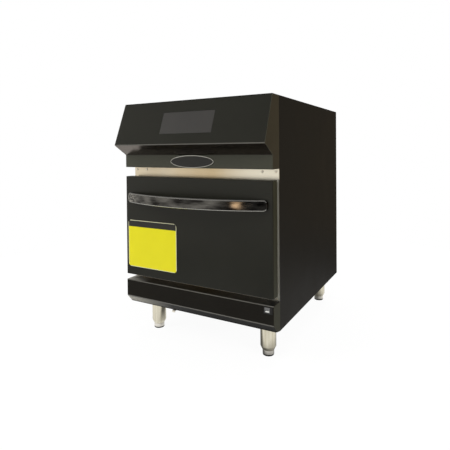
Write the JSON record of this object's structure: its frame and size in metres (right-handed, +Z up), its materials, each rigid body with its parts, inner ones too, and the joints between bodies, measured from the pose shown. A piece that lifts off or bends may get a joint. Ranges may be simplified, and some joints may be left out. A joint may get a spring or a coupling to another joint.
{
  "type": "speed oven",
  "caption": "Countertop speed oven: black cabinet with sloped control hood, touch screen, drop-down door with bow handle, stainless front frame and adjustable legs.",
  "frame": {"origin": "on the surface that the oven stands on, under the middle of its overall box", "axes": "+X to the right as seen from the front, +Y to the rear, +Z up"},
  "size_m": [0.5, 0.712, 0.725],
  "materials": {
    "black_paint": "semi-gloss powder coat",
    "stainless": "brushed",
    "black_chrome": "polished dark chrome",
    "screen_glass": "satin",
    "galvanised_steel": "zinc coated",
    "magnetron_steel": "plated",
    "waveguide_aluminium": "mill finish",
    "transformer_iron": "varnished",
    "capacitor_aluminium": "drawn",
    "motor_steel": "painted",
    "black_plastic": "moulded",
    "circuit_board": "lacquered",
    "ceramic_wool": "fibrous",
    "silicone": "matt",
    "card_yellow": "satin film",
    "filter_foam": "open-cell foam",
    "mica": "matt",
    "catalyst": "coated"
  },
  "bodies": {
    "cabinet": {"badge_plate": "black_paint", "base_pan": "galvanised_steel", "blower_motor": "motor_steel", "cable_gland": "black_plastic", "capacitors": "capacitor_aluminium", "catalyst_disc": "catalyst", "cavity_insulation": "ceramic_wool", "cavity_liner": "stainless", "control_board": "circuit_board", "control_hood": "black_paint", "cooling_fan_frame": "black_plastic", "display_module": "black_plastic", "electronics_shelf": "galvanised_steel", "filter_rails": "galvanised_steel", "front_frame": "stainless", "heater_loop": "stainless", "hinge_arms": "galvanised_steel", "interlock_switches": "black_plastic", "left_side_panel": "black_paint", "leg_tubes": "stainless", "lower_jet_plate": "stainless", "magnetrons": "magnetron_steel", "mains_filter": "galvanised_steel", "motor_mount": "galvanised_steel", "panel_screws": "stainless", "plenum": "galvanised_steel", "plinth_panel": "black_paint", "port_bezel": "black_plastic", "power_board": "circuit_board", "rear_insulation": "ceramic_wool", "rear_panel": "black_paint", "right_side_panel": "black_paint", "service_port": "galvanised_steel", "temperature_probe": "stainless", "terminal_block": "black_plastic", "top_cover": "black_paint", "touch_screen_glass": "screen_glass", "transformers": "transformer_iron", "upper_jet_plate": "stainless", "wave_port_covers": "mica", "waveguides": "waveguide_aluminium", "wire_rack": "stainless"},
    "door": {"door_outer_skin": "black_paint", "door_inner_pan": "stainless", "door_insulation": "ceramic_wool", "door_choke_frame": "galvanised_steel", "door_seal": "silicone", "door_latch_hooks": "stainless", "hinge_channels": "galvanised_steel", "door_handle": "black_chrome", "handle_screws": "stainless", "door_card": "card_yellow"},
    "front_left_foot": {"front_left_foot": "stainless"},
    "rear_left_foot": {"rear_left_foot": "stainless"},
    "front_right_foot": {"front_right_foot": "stainless"},
    "rear_right_foot": {"rear_right_foot": "stainless"},
    "blower": {"blower_wheel": "galvanised_steel"},
    "cooling_fan": {"cooling_fan_rotor": "black_plastic"},
    "intake_filter": {"filter_tray": "galvanised_steel", "filter_pad": "filter_foam"}
  },
  "joints": [
    {"name": "door_hinge", "type": "hinge", "parent": "cabinet", "child": "door", "pos_m": [0, -0.28, 0.1995], "axis": [1, 0, 0], "range_deg": [0, 90], "stiffness_Nm_per_rad": 4, "springref_deg": -22.92},
    {"name": "front_left_foot_height", "type": "slide", "parent": "cabinet", "child": "front_left_foot", "axis": [0, 0, -1], "range_m": [0, 0.025]},
    {"name": "rear_left_foot_height", "type": "slide", "parent": "cabinet", "child": "rear_left_foot", "axis": [0, 0, -1], "range_m": [0, 0.025]},
    {"name": "front_right_foot_height", "type": "slide", "parent": "cabinet", "child": "front_right_foot", "axis": [0, 0, -1], "range_m": [0, 0.025]},
    {"name": "rear_right_foot_height", "type": "slide", "parent": "cabinet", "child": "rear_right_foot", "axis": [0, 0, -1], "range_m": [0, 0.025]},
    {"name": "blower_spin", "type": "hinge", "parent": "cabinet", "child": "blower", "pos_m": [0, 0.124, 0.345], "axis": [0, 1, 0], "continuous": true},
    {"name": "cooling_fan_spin", "type": "hinge", "parent": "cabinet", "child": "cooling_fan", "pos_m": [-0.0875, -0.106, 0.12], "axis": [0, 0, 1], "continuous": true},
    {"name": "intake_filter_slide", "type": "slide", "parent": "cabinet", "child": "intake_filter", "axis": [0, -1, 0], "range_m": [0, 0.27]}
  ]
}
